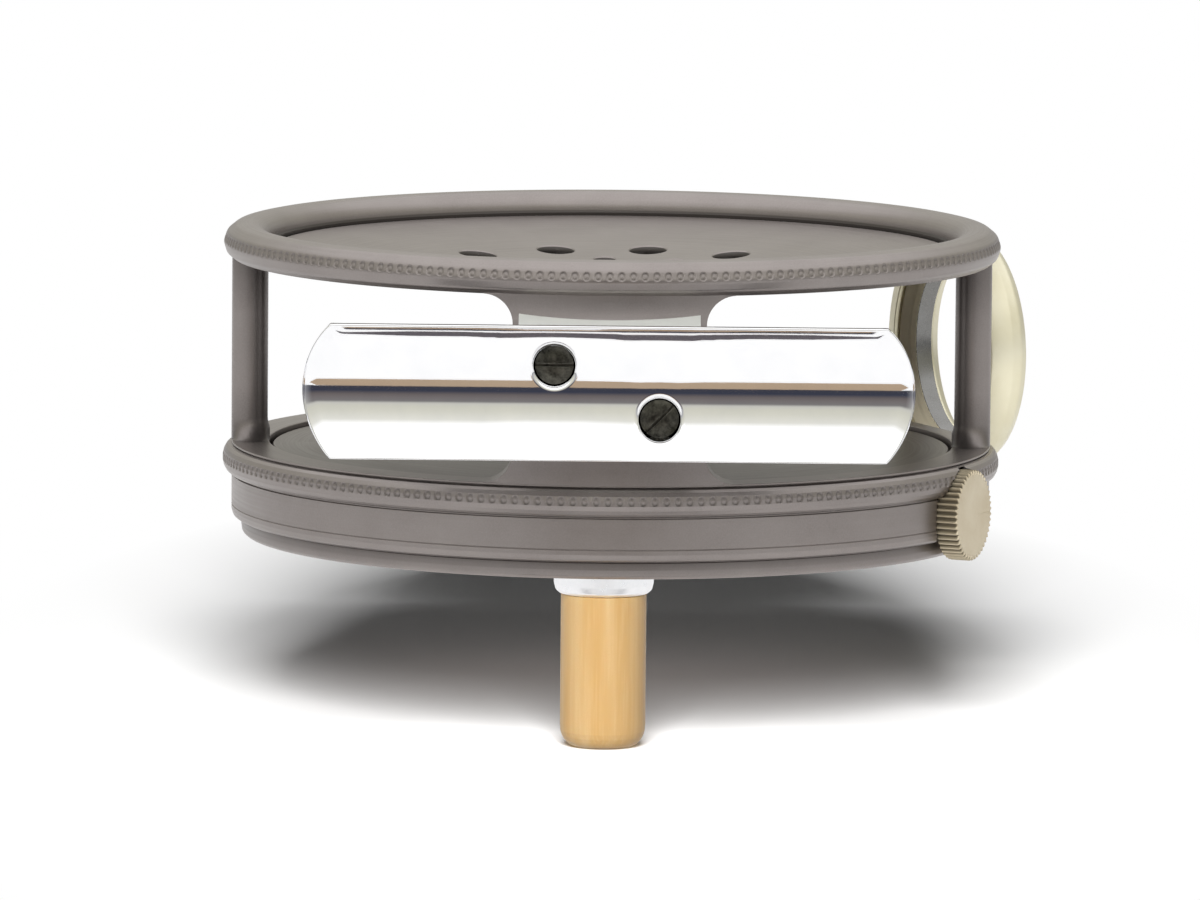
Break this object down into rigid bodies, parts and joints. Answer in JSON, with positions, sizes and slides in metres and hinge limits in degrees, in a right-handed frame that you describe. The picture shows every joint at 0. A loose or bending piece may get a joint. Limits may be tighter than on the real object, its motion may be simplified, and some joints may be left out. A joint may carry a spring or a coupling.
{
  "type": "fly fishing reel",
  "caption": "Caged fly fishing reel: a perforated line drum with a cranking handle turns on ball bearings in an open ring frame with a rod foot, line guard, click pawl and regulator knob.",
  "frame": {"origin": "middle of the rod foot's seat, on its centre facet", "axes": "+Z along the drum's spindle towards the perforated flange, -Y out of the rod foot towards the rod, +X along the foot"},
  "size_m": [0.0887, 0.0924, 0.0531],
  "materials": {
    "gunmetal": "satin anodised",
    "bright_alloy": "polished",
    "nickel_silver": "fine satin",
    "steel": "ground",
    "blued_steel": "dark",
    "ivorine": "grained, satin"
  },
  "bodies": {
    "frame_body": {"frame": "gunmetal", "foot": "bright_alloy", "foot_screw_1": "blued_steel", "foot_screw_2": "blued_steel", "line_guard_outer": "nickel_silver", "line_guard_inner": "nickel_silver", "bearing_outer_race": "steel", "pawl_post": "steel", "leaf_clamp": "steel", "regulator_rail_1": "nickel_silver", "regulator_rail_2": "nickel_silver", "regulator_bush": "nickel_silver"},
    "drum_body": {"drum_upper_flange": "gunmetal", "drum_arbor": "gunmetal", "drum_lower_flange": "gunmetal", "drum_rivet_1": "steel", "drum_rivet_2": "steel", "drum_rivet_3": "steel", "spindle": "steel", "spindle_nut": "nickel_silver", "bearing_inner_race": "steel", "ratchet_wheel": "steel", "handle_plate": "gunmetal", "lock_screw": "steel", "lock_strap": "nickel_silver", "strap_screw": "steel", "handle_ferrule": "bright_alloy", "handle_pin": "steel"},
    "grip_body": {"handle_grip": "ivorine"},
    "ball_body": {"ball_cage": "nickel_silver", "ball_1": "steel", "ball_2": "steel", "ball_3": "steel", "ball_4": "steel", "ball_5": "steel", "ball_6": "steel", "ball_7": "steel", "ball_8": "steel", "ball_9": "steel", "ball_10": "steel"},
    "pawl_body": {"pawl": "steel"},
    "spring_body": {"leaf_spring": "steel"},
    "regulator_body": {"regulator_knob": "nickel_silver", "regulator_stem": "steel"},
    "block_body": {"regulator_block": "nickel_silver"}
  },
  "joints": [
    {"name": "drum_spin", "type": "hinge", "parent": "frame_body", "child": "drum_body", "pos_m": [0, 0.0465, -0.0209], "axis": [0, 0, 1], "continuous": true},
    {"name": "handle_spin", "type": "hinge", "parent": "drum_body", "child": "grip_body", "pos_m": [-0.0006, 0.013, -0.0309], "axis": [0, 0, 1], "continuous": true},
    {"name": "ball_cage_spin", "type": "hinge", "parent": "frame_body", "child": "ball_body", "pos_m": [0, 0.0465, -0.01485], "axis": [0, 0, 1], "continuous": true},
    {"name": "regulator_turn", "type": "hinge", "parent": "frame_body", "child": "regulator_body", "pos_m": [0.03988, 0.0279, -0.0163], "axis": [0.9063, -0.4226, 0], "range_deg": [0, 721]},
    {"name": "block_travel", "type": "slide", "parent": "frame_body", "child": "block_body", "axis": [-0.9063, 0.4226, 0], "range_m": [0, 0.0009]},
    {"name": "pawl_click", "type": "hinge", "parent": "frame_body", "child": "pawl_body", "pos_m": [0.01592, 0.05342, -0.018], "axis": [0, 0, 1], "range_deg": [0, 5]},
    {"name": "spring_flex", "type": "hinge", "parent": "frame_body", "child": "spring_body", "pos_m": [0.0103, 0.02956, -0.018], "axis": [0, 0, 1], "range_deg": [-2.1, 0]}
  ],
  "couplings": [
    {"joint": "ball_cage_spin", "follows": "drum_spin", "ratio": 0.40588},
    {"joint": "regulator_turn", "follows": "block_travel", "rad_per_m": 13963},
    {"joint": "spring_flex", "follows": "pawl_click", "ratio": -0.4}
  ]
}
